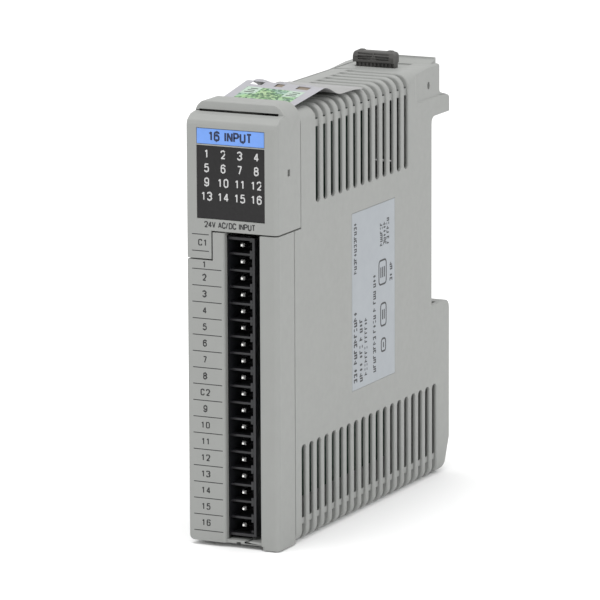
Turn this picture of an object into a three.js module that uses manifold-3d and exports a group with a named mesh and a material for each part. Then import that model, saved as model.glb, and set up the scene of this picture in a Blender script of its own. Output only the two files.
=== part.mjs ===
// Slim 16 point input module for a rack mounted controller, about 23 x 93 x 103 mm.
//
// Module coordinates, in millimetres: x runs from the left face (0) to the right face (WIDTH), y from the
// front plane (0) to the rear (DEPTH), and z up from the underside. The whole group is then shifted so that
// its origin is the centre of the underside of the bounding box.

import * as THREE from 'three';
import { mergeVertices } from 'three/addons/utils/BufferGeometryUtils.js';
import Module from 'manifold-3d';

const wasm = await Module();
wasm.setup();

// ---------------------------------------------------------------- driving dimensions

const WIDTH = 22.7;
const DEPTH = 93.3;
const TOP = 99.4;
const WALL = 1.6;
const FIT = 0.3;

// Case outline, seen from the side.
const FRAME_DEPTH = 8.6;
const BEZEL_DEPTH = 12.0;
const BEZEL_BOTTOM = 72.7;
const UPPER_REAR = 88.4;
const NOTCH_WALL = 83.2;
const NOTCH_FLOOR = 41.7;
const NOTCH_CEILING = 87.2;
const TOP_EDGE_RADIUS = 3.2;
const REAR_EDGE_RADIUS = 1.2;
const EDGE_CHANGE = { start: 70.5, end: 82.0 };
const BOTTOM_EDGE_RADIUS = 2.4;
const LOWER_CHAMFER = { y: 90.0, z: 7.9, radius: 1.6 };
const NOTCH_FLOOR_RADIUS = 2.2;
const HOOK = { tip: 91.0, tipRadius: 1.0, root: 92.5, rootRadius: 0.8 };
const COVER_SPLIT = 2.8;

// Vent slots.
const SLOT_PITCH = 3.97;
const SLOT_WIDTH = 2.4;
const SLOT_FIRST_Y = 12.0;
const LOWER_SLOT_COUNT = 19;
const UPPER_SLOT_FIRST = 2;
const UPPER_SLOT_COUNT = 13;
const UPPER_SLOT = { low: 77.1, high: 94.4, wrap: 96.05 };
const LOWER_SLOT = { low: 5.1, high: 22.3, wrap: 3.7 };
const SLOT_LEFT_END = 7.0;
const SLOT_END_RADIUS = 1.05;
const BRIDGE = { radius: 0.35, depth: 0.6, overlap: 0.5 };
const GROOVE_DEPTH = 1.2;
const VENT_SKIN = 0.85;
const VENT_MARGIN = 0.8;
const VENT_RELIEF = { low: 3.6, high: 96.2 };

// Front: number strip, header opening, right cheek and the tab of the bezel.
const STRIP_RIGHT = 9.3;
const CHEEK_LEFT = 18.2;
const STRIP_BOTTOM = 0.8;
const STRIP_CORNER = 1.3;
const OPENING_LOW = 1.6;
const HOLLOW_HIGH = 71.1;
const TAB_RIGHT = 6.1;
const TAB_BOTTOM = 66.2;
const FRONT_RADIUS = 1.2;
const FRONT_LEFT_RADIUS = 0.3;
const SKIN = 1.4;
const LEDGE_INSET = 0.5;
const LEDGE_NOTCH = { width: 1.0, lower: 11.7, upper: 13.9, depth: 4.5, split: 1.2 };

// Bezel top: the front curls back to a slit, and a lip stands behind the slit.
const CURL_START = 96.4;
const SLIT_Z = 99.2;
const SLIT = { left: 1.1, right: 20.7, front: 4.4, rear: 6.6, low: 98.95, high: 99.45 };
const LIP = { front: 4.7, crest: 5.2, top: 101.4, radius: 0.35 };
const BEZEL_LEFT_RADIUS = 2.6;
const BEZEL_RIGHT_RADIUS = 4.2;
const BEZEL_ROOF = 97.6;

// Legend window and name strip.
const LEGEND = { left: 2.5, right: 19.5, low: 75.4, high: 92.1 };
const NAME = { low: 92.4, high: 96.05 };
const SNAP_SLOT = { front: 5.5, rear: 6.75, low: 85.4, high: 86.9, depth: 2 };

// Terminal header.
const PIN_COUNT = 18;
const PIN_PITCH = 3.81;
const PIN_FIRST_Z = 69.25;
const PIN_X = 12.0;
const PIN_TIP_Y = 3.5;
const PIN_HALF = 0.5;
const PIN_TAPER = 0.7;
const PIN_LEG = { left: 9.4, y: 13.4 };
const HEADER = { left: 8.75, right: 16.0, front: 2.0, rear: 11.2, overhang: 2.1 };
const HEADER_WALL = { left: 0.55, right: 0.6, floor: 1.8, end: 0.6, rib: 0.235 };
const PRONG = { left: 14.3, right: 14.85, gap: 0.95 };

// Indicators, in a 4 by 4 grid.
const GRID = 4;
const GRID_LEFT = 5.0;
const GRID_TOP = 90.25;
const GRID_STEP_X = 4.15;
const GRID_STEP_Z = 3.23;

// Rating label on the right side.
const LABEL = { front: 39.0, rear: 62.3, low: 29.5, high: 71.2, seat: 0.2, gap: 0.05, thickness: 0.12 };

// Paper label on the top, with three openings behind its crest.
const TAG = { left: 1.7, right: 20.7, thickness: 0.25, holeFront: 24.6, holeRear: 27.0 };
const TAG_HOLES = [[3.2, 6.4], [9.4, 11.4], [14.6, 18.0]];
const TAG_PROFILE = [
  [12.5, 100.25], [26.0, 102.9, 2.5], [36.8, 99.9, 2.5], [40.5, 100.7, 2.5], [45.5, 99.85], [47.0, 99.85],
];

// Upper rear corner: shallow side inset, snap hole, ridge at the rear edge, pocket behind the latch.
const REAR_INSET = { front: 73.5, low: 91.6, depth: 0.35, frontSlope: 1.6, lowSlope: 0.3, radius: 1.4 };
const SNAP_HOLE = { front: 81.55, rear: 82.85, low: 93.95, high: 95.65 };
const REAR_RIDGE = { left: 3.4, right: 21.3, front: 85.4, rise: 1.3, lip: 0.5 };
const POCKET = { left: 5.5, right: 17.2, rear: 84.6, depth: 0.4 };

// Slot in the floor of the rear notch, for the lip of the rail.
const RAIL_SLOT = { left: 3.6, right: 21.4, rear: 88.2 };

// Release latch.
const LATCH = { left: 5.45, right: 16.05, front: 75.9, rear: 79.1, low: 100.4, high: 103.1 };
const STEM = { left: 6.05, right: 15.95, front: 76.5, rear: 78.7 };
const ARM = { low: 89.1, high: 91.1 };
const CLAW = { front: 84.6, rear: 86.4, low: 84.4, inset: 0.9 };
const HORN = { inset: 0.6, width: 2.0, rise: 0.25 };
const GRIP = { drops: [0.35, 0.95, 1.55], width: 0.3, depth: 0.45, inset: 1.3 };
const RIB_COUNT = 10;
const RIB_GROOVE = { width: 0.45, depth: 0.3 };
const SPRING = { y: 83.9, radius: 1.5, wire: 0.25, turns: 4, gap: 0.6 };

// Electronics inside.
const BAFFLE = { left: 3.3, right: 19.2, front: 2.9, rear: 7.4, low: 78.4, high: 92.1, well: 1.2 };
const LED = { halfWidth: 0.5, halfHeight: 0.8, front: 7.8, rear: 8.7 };
const DISPLAY_BOARD = { left: 3.0, right: 19.7, front: 9.0, rear: 10.2, low: 75.0, high: 96.8 };
const BOARD = { left: 7.5, right: 9.1, front: 12.6, low: 3.2, high: 96.0 };
const BOARD_REAR = { low: 88.5, rise: 37.5, latch: 74.5, slopeLow: 84.5, slopeHigh: 90.0 };
const CHIP_X = BOARD.right + FIT;
const LINK = { left: CHIP_X + 0.1, right: CHIP_X + 2.6, rear: 16.5, low: 78.0, high: 90.0 };
const CHIP = { thickness: 1.4, front: 48.0, rear: 60.0, low: 54.0, high: 66.0 };
const OPTO = { count: 4, front: 19.0, rear: 26.5, low: 10.5, step: 14.5, height: 10.5, thickness: 3.0 };
const CAN = { radius: 4.0, height: 8.0, x: 13.5, y: 66.0, z: 24.0 };
const CONNECTOR = { left: 5.6, right: 13.6, low: 52.0, high: 76.0, depth: 2.0 };
const CONTACTS = { rows: [7.0, 10.8], count: 10, start: 2.0, step: 2.2, width: 1.4, height: 1.2, depth: 1.3 };

// ---------------------------------------------------------------- materials

function plastic(color, roughness) {
  return new THREE.MeshStandardMaterial({ color, roughness, metalness: 0 });
}

function metal(color, roughness) {
  return new THREE.MeshStandardMaterial({ color, roughness, metalness: 1 });
}

const casePlastic = plastic(0xb4b6b3, 0.55);
const latchPlastic = plastic(0x4b4c4b, 0.5);
const headerPlastic = plastic(0x17171a, 0.45);
const windowFilm = plastic(0x3a3a3c, 0.3);
const blueFilm = plastic(0x78a0e6, 0.4);
const labelFilm = plastic(0xb8bec6, 0.45);
const paper = plastic(0xd9dedb, 0.8);
const board = plastic(0x1f5a38, 0.5);
const chipResin = plastic(0x1c1c1e, 0.6);
const baffleResin = plastic(0xe4e4e0, 0.6);
const ledLens = plastic(0xbfe3b4, 0.25);
const tinned = metal(0xd8d8d4, 0.3);
const steel = metal(0xb8bcc0, 0.35);
const canMetal = metal(0xc4c8cc, 0.3);

// ---------------------------------------------------------------- solids

// Axes that a flat outline is drawn on, and the axis it is pushed along.
const X = new THREE.Vector3(1, 0, 0);
const Y = new THREE.Vector3(0, 1, 0);
const Z = new THREE.Vector3(0, 0, 1);

function toSolid(geometry) {
  const bare = geometry.clone();
  bare.deleteAttribute('normal');
  bare.deleteAttribute('uv');
  const merged = mergeVertices(bare, 1e-5);
  return new wasm.Manifold(new wasm.Mesh({
    numProp: 3,
    vertProperties: new Float32Array(merged.attributes.position.array),
    triVerts: new Uint32Array(merged.index.array),
  }));
}

function toGeometry(solid) {
  const mesh = solid.getMesh();
  const geometry = new THREE.BufferGeometry();
  geometry.setAttribute('position', new THREE.BufferAttribute(mesh.vertProperties, 3));
  geometry.setIndex(new THREE.BufferAttribute(mesh.triVerts, 1));
  return geometry;
}

// Closed outline through corners [u, v, radius], with each corner rounded by its radius.
function outline(corners) {
  const shape = new THREE.Shape();
  const count = corners.length;
  corners.forEach(([u, v, radius = 0], index) => {
    const here = new THREE.Vector2(u, v);
    const before = new THREE.Vector2(...corners[(index + count - 1) % count]);
    const after = new THREE.Vector2(...corners[(index + 1) % count]);
    const towardBefore = before.sub(here).normalize();
    const towardAfter = after.sub(here).normalize();
    const turn = Math.PI - Math.acos(towardBefore.dot(towardAfter));
    const tangent = radius * Math.tan(turn / 2);
    const handle = tangent - radius * (4 / 3) * Math.tan(turn / 4);
    const start = here.clone().addScaledVector(towardBefore, tangent);
    const end = here.clone().addScaledVector(towardAfter, tangent);
    if (index === 0) {
      shape.moveTo(start.x, start.y);
    } else {
      shape.lineTo(start.x, start.y);
    }
    if (radius > 0) {
      const first = here.clone().addScaledVector(towardBefore, handle);
      const second = here.clone().addScaledVector(towardAfter, handle);
      shape.bezierCurveTo(first.x, first.y, second.x, second.y, end.x, end.y);
    }
  });
  shape.closePath();
  return shape;
}

function push(shape, depth, curveSegments, axes, offset) {
  const geometry = new THREE.ExtrudeGeometry(shape, { depth, bevelEnabled: false, curveSegments });
  geometry.applyMatrix4(new THREE.Matrix4().makeBasis(...axes));
  geometry.translate(...offset);
  return toSolid(geometry);
}

// A [y, z] outline pushed along x, an [x, z] outline along y, and an [x, y] outline along z.
function alongX(corners, x0, x1, segments = 5) {
  return push(outline(corners), x1 - x0, segments, [Y, Z, X], [x0, 0, 0]);
}

function alongY(corners, y0, y1, segments = 5) {
  const swapped = corners.map(([x, z, radius = 0]) => [z, x, radius]);
  return push(outline(swapped), y1 - y0, segments, [Z, X, Y], [0, y0, 0]);
}

function alongZ(corners, z0, z1, segments = 5) {
  return push(outline(corners), z1 - z0, segments, [X, Y, Z], [0, 0, z0]);
}

// Solid through [corners, w] stations whose outlines match point for point.
function loft(stations, axes, curveSegments) {
  const rings = stations.map(([corners, w]) => {
    const points = outline(corners).getPoints(curveSegments);
    if (points[0].distanceTo(points[points.length - 1]) < 1e-6) {
      points.pop();
    }
    return { points: THREE.ShapeUtils.isClockWise(points) ? points.reverse() : points, w };
  });
  const count = rings[0].points.length;
  const positions = rings.flatMap(({ points, w }) => points.flatMap((point) => [point.x, point.y, w]));
  const index = [];
  for (let ring = 0; ring + 1 < rings.length; ring += 1) {
    for (let here = 0; here < count; here += 1) {
      const next = (here + 1) % count;
      const [a, b, c, d] = [ring * count + here, ring * count + next, (ring + 1) * count + next,
        (ring + 1) * count + here];
      index.push(a, b, c, a, c, d);
    }
  }
  const last = (rings.length - 1) * count;
  THREE.ShapeUtils.triangulateShape(rings[0].points, []).forEach(([a, b, c]) => {
    index.push(c, b, a, last + a, last + b, last + c);
  });
  const geometry = new THREE.BufferGeometry();
  geometry.setAttribute('position', new THREE.BufferAttribute(new Float32Array(positions), 3));
  geometry.setIndex(index);
  geometry.applyMatrix4(new THREE.Matrix4().makeBasis(...axes));
  return toSolid(geometry);
}

function block(x0, x1, y0, y1, z0, z1) {
  const geometry = new THREE.BoxGeometry(x1 - x0, y1 - y0, z1 - z0);
  geometry.translate((x0 + x1) / 2, (y0 + y1) / 2, (z0 + z1) / 2);
  return toSolid(geometry);
}

function rectangle(u0, u1, v0, v1, radius = 0) {
  return [[u0, v0, radius], [u1, v0, radius], [u1, v1, radius], [u0, v1, radius]];
}

function cutAll(solid, cutters) {
  return cutters.reduce((rest, cutter) => rest.subtract(cutter), solid);
}

const model = new THREE.Group();
model.position.set(-WIDTH / 2, -DEPTH / 2, 0);

function place(name, solid, material) {
  const mesh = new THREE.Mesh(toGeometry(solid), material);
  mesh.name = name;
  model.add(mesh);
}

// ---------------------------------------------------------------- rear case

// Side outline of the rear case, drawn in by inset on every side.
function sideOutline(inset) {
  const front = FRAME_DEPTH + FIT;
  const upperFront = BEZEL_DEPTH + FIT;
  return [
    [front - inset, inset],
    [LOWER_CHAMFER.y - inset * 0.6, inset, LOWER_CHAMFER.radius],
    [DEPTH - inset, LOWER_CHAMFER.z],
    [DEPTH - inset, NOTCH_FLOOR - inset, Math.max(NOTCH_FLOOR_RADIUS - inset, 0.3)],
    [NOTCH_WALL - inset, NOTCH_FLOOR - inset],
    [NOTCH_WALL - inset, NOTCH_CEILING + inset, inset > 0 ? 0 : 1.6],
    [DEPTH - inset, NOTCH_CEILING + inset],
    [DEPTH - inset, HOOK.tip - inset * 0.5, inset > 0 ? 0.2 : HOOK.tipRadius],
    [UPPER_REAR - inset, HOOK.root - inset * 0.7, HOOK.rootRadius],
    [UPPER_REAR - inset, TOP - inset, inset > 0 ? 0 : 0.8],
    [upperFront - inset, TOP - inset],
    [upperFront - inset, BEZEL_BOTTOM - FIT - inset],
    [front - inset, BEZEL_BOTTOM - FIT - inset],
  ];
}

// Front view of the case with its long edges rounded.
function frontOutline(inset, edgeRadius) {
  const topRadius = Math.max(edgeRadius - inset, 0.1);
  const bottomRadius = Math.max(BOTTOM_EDGE_RADIUS - inset, 0.1);
  return [
    [inset, inset, bottomRadius],
    [WIDTH - inset, inset, bottomRadius],
    [WIDTH - inset, TOP - inset, topRadius],
    [inset, TOP - inset, topRadius],
  ].map(([x, z, radius]) => [z, x, radius]);
}

// The long top edges are well rounded over the vents and tighter at the rear.
function longForm(inset, segments) {
  const stations = [
    [frontOutline(inset, TOP_EDGE_RADIUS), 0],
    [frontOutline(inset, TOP_EDGE_RADIUS), EDGE_CHANGE.start],
    [frontOutline(inset, REAR_EDGE_RADIUS), EDGE_CHANGE.end],
    [frontOutline(inset, REAR_EDGE_RADIUS), DEPTH + 1],
  ];
  return loft(stations, [Z, X, Y], segments);
}

function caseSolid() {
  return alongX(sideOutline(0), 0, WIDTH, 4).intersect(longForm(0, 7));
}

function caseCavity() {
  return alongX(sideOutline(WALL), 0, WIDTH, 4).intersect(longForm(WALL, 5));
}

function slotY(index) {
  return SLOT_FIRST_Y + index * SLOT_PITCH;
}

// One slot through a side wall, with round ends.
function slot(index, z0, z1, x0, x1, lowRadius = SLOT_END_RADIUS, highRadius = SLOT_END_RADIUS) {
  const front = slotY(index);
  const rear = front + SLOT_WIDTH;
  const corners = [
    [front, z0, lowRadius], [rear, z0, lowRadius], [rear, z1, highRadius], [front, z1, highRadius],
  ];
  return alongX(corners, x0, x1, 3);
}

// Slots in the right wall. Each runs over a low bridge into a groove that wraps round the long edge.
function rightSlotCutters() {
  const inside = WIDTH - 2.1;
  const outside = WIDTH + 1;
  const core = longForm(GROOVE_DEPTH, 7);
  const bridgeFloor = WIDTH - BRIDGE.depth;
  const cutters = [];
  for (let index = UPPER_SLOT_FIRST; index < UPPER_SLOT_FIRST + UPPER_SLOT_COUNT; index += 1) {
    const { low, high, wrap } = UPPER_SLOT;
    cutters.push(slot(index, low, high, inside, outside, SLOT_END_RADIUS, BRIDGE.radius));
    cutters.push(slot(index, high - BRIDGE.overlap, wrap + BRIDGE.overlap, bridgeFloor, outside, 0, 0));
    cutters.push(slot(index, wrap, TOP + 4, SLOT_LEFT_END, outside, BRIDGE.radius).subtract(core));
  }
  for (let index = 0; index < LOWER_SLOT_COUNT; index += 1) {
    const { low, high, wrap } = LOWER_SLOT;
    cutters.push(slot(index, low, high, inside, outside, BRIDGE.radius));
    cutters.push(slot(index, wrap - BRIDGE.overlap, low + BRIDGE.overlap, bridgeFloor, outside, 0, 0));
    cutters.push(slot(index, -4, wrap, SLOT_LEFT_END, outside, 0, BRIDGE.radius).subtract(core));
  }
  return cutters;
}

// The right wall is thinner behind each band of slots.
function ventReliefs() {
  const inside = WIDTH - WALL - 0.2;
  const outside = WIDTH - VENT_SKIN;
  const lowerRear = slotY(LOWER_SLOT_COUNT - 1) + SLOT_WIDTH + VENT_MARGIN;
  const upperRear = slotY(UPPER_SLOT_FIRST + UPPER_SLOT_COUNT - 1) + SLOT_WIDTH + VENT_MARGIN;
  return [
    block(inside, outside, slotY(0) - VENT_MARGIN, lowerRear, VENT_RELIEF.low, LOWER_SLOT.high + VENT_MARGIN),
    block(inside, outside, slotY(UPPER_SLOT_FIRST) - VENT_MARGIN, upperRear, UPPER_SLOT.low - VENT_MARGIN,
      VENT_RELIEF.high),
  ];
}

// Narrow hole for the rear snap, through one side wall.
function snapHole(x0, x1) {
  return alongX(rectangle(SNAP_HOLE.front, SNAP_HOLE.rear, SNAP_HOLE.low, SNAP_HOLE.high, 0.6), x0, x1, 3);
}

// Opening in the top for the latch stem, with a shallow pocket behind it.
function latchOpenings() {
  return [
    block(STEM.left - FIT, STEM.right + FIT, STEM.front - FIT, STEM.rear + FIT, TOP - 3, TOP + 2),
    block(POCKET.left, POCKET.right, STEM.rear + FIT, POCKET.rear, TOP - POCKET.depth, TOP + 2),
    block(STEM.left + CLAW.inset - FIT, STEM.right - CLAW.inset + FIT, CLAW.front - FIT, CLAW.rear + FIT,
      CLAW.low - 1, ARM.low),
  ];
}

// Low ridge along the rear edge of the top, with a sloping front under a thin lip.
function rearRidge() {
  const { front, rise, lip, left, right } = REAR_RIDGE;
  const corners = [
    [front, TOP - 1], [UPPER_REAR, TOP - 1], [UPPER_REAR, TOP + rise, 0.2],
    [UPPER_REAR - lip, TOP + rise, 0.1], [UPPER_REAR - lip, TOP + rise - lip], [front, TOP - 0.05],
  ];
  return alongX(corners, left, right, 3);
}

// Shallow inset of the upper rear side, with sloping edges.
function rearInset() {
  const { front, low, depth, frontSlope, lowSlope, radius } = REAR_INSET;
  const [rear, high] = [UPPER_REAR + 4, TOP + 5];
  const stations = [
    [rectangle(front + frontSlope, rear, low + lowSlope, high, radius), WIDTH - depth],
    [rectangle(front - frontSlope, rear, low - lowSlope, high, radius), WIDTH + depth],
  ];
  return loft(stations, [Y, Z, X], 4);
}

function mainHousing() {
  const shell = caseSolid().subtract(caseCavity());
  const half = block(COVER_SPLIT + FIT, WIDTH + 2, -1, DEPTH + 2, -1, TOP + 4);
  const connectorHole = block(CONNECTOR.left - FIT, CONNECTOR.right + FIT, NOTCH_WALL - WALL - 1,
    NOTCH_WALL + 1, CONNECTOR.low - FIT, CONNECTOR.high + FIT);
  const headerRelief = block(HEADER.left - FIT, HEADER.right + FIT, 0, HEADER.rear + FIT,
    pinZ(2), pinZ(0) + HEADER.overhang + FIT);
  const labelSeat = block(WIDTH - LABEL.seat, WIDTH + 1, LABEL.front - LABEL.gap, LABEL.rear + LABEL.gap,
    LABEL.low - LABEL.gap, LABEL.high + LABEL.gap);
  const railSlot = block(RAIL_SLOT.left, RAIL_SLOT.right, NOTCH_WALL, RAIL_SLOT.rear,
    NOTCH_FLOOR - WALL - 1, NOTCH_FLOOR + 1);
  const body = shell.intersect(half).subtract(rearInset()).add(rearRidge());
  return cutAll(body, [
    ...rightSlotCutters(), ...ventReliefs(), ...latchOpenings(),
    snapHole(WIDTH - 3, WIDTH + 1), connectorHole, headerRelief, labelSeat, railSlot,
  ]);
}

// The left cover is a shallow tray with plain slots in its face.
function leftCover() {
  const half = block(-1, COVER_SPLIT, -1, DEPTH + 2, -1, TOP + 4);
  const slots = [];
  for (let index = UPPER_SLOT_FIRST; index < UPPER_SLOT_FIRST + UPPER_SLOT_COUNT; index += 1) {
    slots.push(slot(index, UPPER_SLOT.low, UPPER_SLOT.high, -1, WALL + 0.5));
  }
  for (let index = 0; index < LOWER_SLOT_COUNT; index += 1) {
    slots.push(slot(index, LOWER_SLOT.low, LOWER_SLOT.high, -1, WALL + 0.5));
  }
  const tray = caseSolid().subtract(caseCavity()).intersect(half);
  return cutAll(tray, [...slots, snapHole(-1, WALL + 0.5)]);
}

// ---------------------------------------------------------------- front casing

function frontFrame() {
  const high = BEZEL_BOTTOM - FIT;
  const deep = FRAME_DEPTH + 1;
  const plan = [
    [0, 0, FRONT_LEFT_RADIUS], [WIDTH, 0, FRONT_RADIUS], [WIDTH, FRAME_DEPTH], [0, FRAME_DEPTH],
  ];
  const hollowFloor = OPENING_LOW + 0.4;
  const hollowLeft = block(SKIN, STRIP_RIGHT - 1.1, SKIN, deep, hollowFloor, HOLLOW_HIGH);
  const hollowRight = block(CHEEK_LEFT + 1.1, WIDTH - SKIN, SKIN, deep, hollowFloor, HOLLOW_HIGH);
  const opening = block(STRIP_RIGHT, CHEEK_LEFT, -1, deep, OPENING_LOW, high + 1);
  const backRelief = block(HEADER.left - FIT, STRIP_RIGHT + 0.1, HEADER.front - FIT, deep, OPENING_LOW - 0.3,
    high + 1);
  const tabSeat = block(-1, TAB_RIGHT + FIT, -1, deep, TAB_BOTTOM - FIT, high + 1);
  const underCut = alongY([
    [-1, -1], [CHEEK_LEFT + 0.45, -1], [CHEEK_LEFT + 0.45, STRIP_BOTTOM], [0, STRIP_BOTTOM, STRIP_CORNER],
    [0, 6], [-1, 6],
  ], -1, 4.0);
  const ledgeFront = block(STRIP_RIGHT, CHEEK_LEFT, -1, LEDGE_INSET, -1, OPENING_LOW);
  const { width, lower, upper, depth, split } = LEDGE_NOTCH;
  const lowerNotch = block(lower, lower + width, -1, depth, -1, split);
  const upperNotch = block(upper, upper + width, -1, depth, split, OPENING_LOW + 0.1);
  return cutAll(alongZ(plan, 0, high, 4), [
    hollowLeft, hollowRight, opening, backRelief, tabSeat, underCut, ledgeFront, lowerNotch, upperNotch,
  ]);
}

// Side outline of the bezel: straight front, curl back to the slit, lip behind it, flat top.
function bezelOutline() {
  return [
    [0, BEZEL_BOTTOM], [0, CURL_START], [0.5, 97.7, 0.8], [2.1, 98.8, 1.6], [LIP.front, SLIT_Z],
    [LIP.front, SLIT_Z + 0.35], [LIP.crest, LIP.top, LIP.radius], [BEZEL_DEPTH, LIP.top + 0.1, 0.5],
    [BEZEL_DEPTH, BEZEL_BOTTOM],
  ];
}

function bezel() {
  const side = alongX(bezelOutline(), 0, WIDTH, 5);
  const crown = [
    [0, 60], [WIDTH, 60], [WIDTH, LIP.top + 0.1, BEZEL_RIGHT_RADIUS], [0, LIP.top + 0.1, BEZEL_LEFT_RADIUS],
  ];
  const plan = [[0, 0, FRONT_LEFT_RADIUS], [WIDTH, 0, FRONT_RADIUS], [WIDTH, BEZEL_DEPTH], [0, BEZEL_DEPTH]];
  const shell = side.intersect(alongY(crown, -1, BEZEL_DEPTH + 1, 7)).intersect(alongZ(plan, 0, 120, 4));
  const hollow = block(SKIN, WIDTH - SKIN, 2.6, BEZEL_DEPTH + 1, BEZEL_BOTTOM + SKIN, BEZEL_ROOF);
  const slit = block(SLIT.left, SLIT.right, SLIT.front, SLIT.rear, SLIT.low, SLIT.high);
  const tab = alongZ([[0, 0, FRONT_LEFT_RADIUS], [TAB_RIGHT, 0], [TAB_RIGHT, SKIN], [SKIN, SKIN],
    [SKIN, FRAME_DEPTH - FIT], [0, FRAME_DEPTH - FIT]], TAB_BOTTOM, BEZEL_BOTTOM + 0.5, 4);
  const windowSeat = block(LEGEND.left, LEGEND.right, -1, 1.3, LEGEND.low, LEGEND.high);
  const lightHole = block(LEGEND.left + 1, LEGEND.right - 1, 0, 4, LEGEND.low + 1, LEGEND.high - 1);
  const nameSeat = block(LEGEND.left, LEGEND.right, -1, 0.8, NAME.low, NAME.high);
  const sideSnap = block(WIDTH - SNAP_SLOT.depth, WIDTH + 1, SNAP_SLOT.front, SNAP_SLOT.rear,
    SNAP_SLOT.low, SNAP_SLOT.high);
  return cutAll(shell.subtract(hollow).add(tab), [slit, windowSeat, lightHole, nameSeat, sideSnap]);
}

function legendWindow() {
  return block(LEGEND.left + 0.1, LEGEND.right - 0.1, 0.15, 1.0, LEGEND.low + 0.1, LEGEND.high - 0.1);
}

function nameStrip() {
  return block(LEGEND.left + 0.1, LEGEND.right - 0.1, 0.12, 0.5, NAME.low + 0.1, NAME.high - 0.1);
}

// ---------------------------------------------------------------- terminal header

function pinZ(index) {
  return PIN_FIRST_Z - index * PIN_PITCH;
}

// Open cells in a row. Two prongs stand in the right side of each cell and key the plug.
function terminalHeader() {
  const high = pinZ(0) + HEADER.overhang;
  const low = pinZ(PIN_COUNT - 1) - HEADER.overhang;
  const left = HEADER.left + HEADER_WALL.left;
  const right = HEADER.right - HEADER_WALL.right;
  const floor = HEADER.rear - HEADER_WALL.floor;
  const ribFront = HEADER.front + 0.5;
  const half = PIN_PITCH / 2 - HEADER_WALL.rib;
  const cells = [];
  for (let index = 0; index < PIN_COUNT; index += 1) {
    const z = pinZ(index);
    cells.push(block(left, PRONG.left, ribFront, floor, z - half, z + half));
    cells.push(block(PRONG.left - 0.1, PRONG.right + 0.1, ribFront, floor, z - PRONG.gap, z + PRONG.gap));
    cells.push(block(PRONG.right, right, ribFront, floor, z - half, z + half));
    cells.push(block(PIN_X - 0.8, PIN_X + 0.8, floor - 0.4, HEADER.rear + 1, z - 0.8, z + 0.8));
  }
  const mouth = block(left, right, HEADER.front - 1, HEADER.front + 1, low + HEADER_WALL.end,
    high - HEADER_WALL.end);
  return cutAll(block(HEADER.left, HEADER.right, HEADER.front, HEADER.rear, low, high), [mouth, ...cells]);
}

// Bent pin: a tip tapered on all sides, a straight shank, and a leg turned towards the board.
function terminalPin(index) {
  const z = pinZ(index);
  const tip = PIN_HALF * 0.45;
  const shoulder = PIN_TIP_Y + PIN_TAPER;
  const plan = [
    [PIN_X - tip, PIN_TIP_Y], [PIN_X + tip, PIN_TIP_Y], [PIN_X + PIN_HALF, shoulder],
    [PIN_X + PIN_HALF, PIN_LEG.y], [PIN_LEG.left, PIN_LEG.y], [PIN_LEG.left, PIN_LEG.y - 2 * PIN_HALF],
    [PIN_X - PIN_HALF, PIN_LEG.y - 2 * PIN_HALF], [PIN_X - PIN_HALF, shoulder],
  ];
  const rear = PIN_LEG.y + 1;
  const spread = (rear - PIN_TIP_Y) * (PIN_HALF - tip) / PIN_TAPER;
  const side = [
    [PIN_TIP_Y, z - tip], [rear, z - tip - spread], [rear, z + tip + spread], [PIN_TIP_Y, z + tip],
  ];
  const shank = alongZ(plan, z - PIN_HALF, z + PIN_HALF);
  return shank.intersect(alongX(side, PIN_LEG.left - 1, PIN_X + 1));
}

// ---------------------------------------------------------------- display

function gridX(index) {
  return GRID_LEFT + (index % GRID) * GRID_STEP_X;
}

function gridZ(index) {
  return GRID_TOP - Math.floor(index / GRID) * GRID_STEP_Z;
}

function lightBaffle() {
  const body = block(BAFFLE.left, BAFFLE.right, BAFFLE.front, BAFFLE.rear, BAFFLE.low, BAFFLE.high);
  const wells = [];
  for (let index = 0; index < GRID * GRID; index += 1) {
    const x = gridX(index);
    const z = gridZ(index);
    wells.push(block(x - BAFFLE.well, x + BAFFLE.well, BAFFLE.front - 1, BAFFLE.rear + 1, z - BAFFLE.well,
      z + BAFFLE.well));
  }
  return cutAll(body, wells);
}

function statusLed(index) {
  const x = gridX(index);
  const z = gridZ(index);
  const { halfWidth, halfHeight, front, rear } = LED;
  return block(x - halfWidth, x + halfWidth, front, rear, z - halfHeight, z + halfHeight);
}

function displayBoard() {
  return block(DISPLAY_BOARD.left, DISPLAY_BOARD.right, DISPLAY_BOARD.front, DISPLAY_BOARD.rear,
    DISPLAY_BOARD.low, DISPLAY_BOARD.high);
}

function displayConnector() {
  const { left, right, rear, low, high } = LINK;
  return block(left, right, DISPLAY_BOARD.rear + FIT, rear, low, high);
}

// ---------------------------------------------------------------- boards and parts inside

// The board leaves room for the rear notch and for the latch.
function mainBoard() {
  const notchSide = NOTCH_WALL - WALL - 0.8;
  const { low, rise, latch, slopeLow, slopeHigh } = BOARD_REAR;
  const corners = [
    [BOARD.front, BOARD.low], [low, BOARD.low], [low, rise], [notchSide, rise],
    [notchSide, slopeLow], [latch, slopeHigh], [latch, BOARD.high], [BOARD.front, BOARD.high],
  ];
  return alongX(corners, BOARD.left, BOARD.right);
}

function optocoupler(index) {
  const z = OPTO.low + index * OPTO.step;
  return block(CHIP_X, CHIP_X + OPTO.thickness, OPTO.front, OPTO.rear, z, z + OPTO.height);
}

function controllerChip() {
  return block(CHIP_X, CHIP_X + CHIP.thickness, CHIP.front, CHIP.rear, CHIP.low, CHIP.high);
}

function filterCapacitor() {
  const can = new THREE.CylinderGeometry(CAN.radius, CAN.radius, CAN.height, 20);
  can.rotateZ(Math.PI / 2);
  can.translate(CAN.x, CAN.y, CAN.z);
  return toSolid(can);
}

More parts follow.
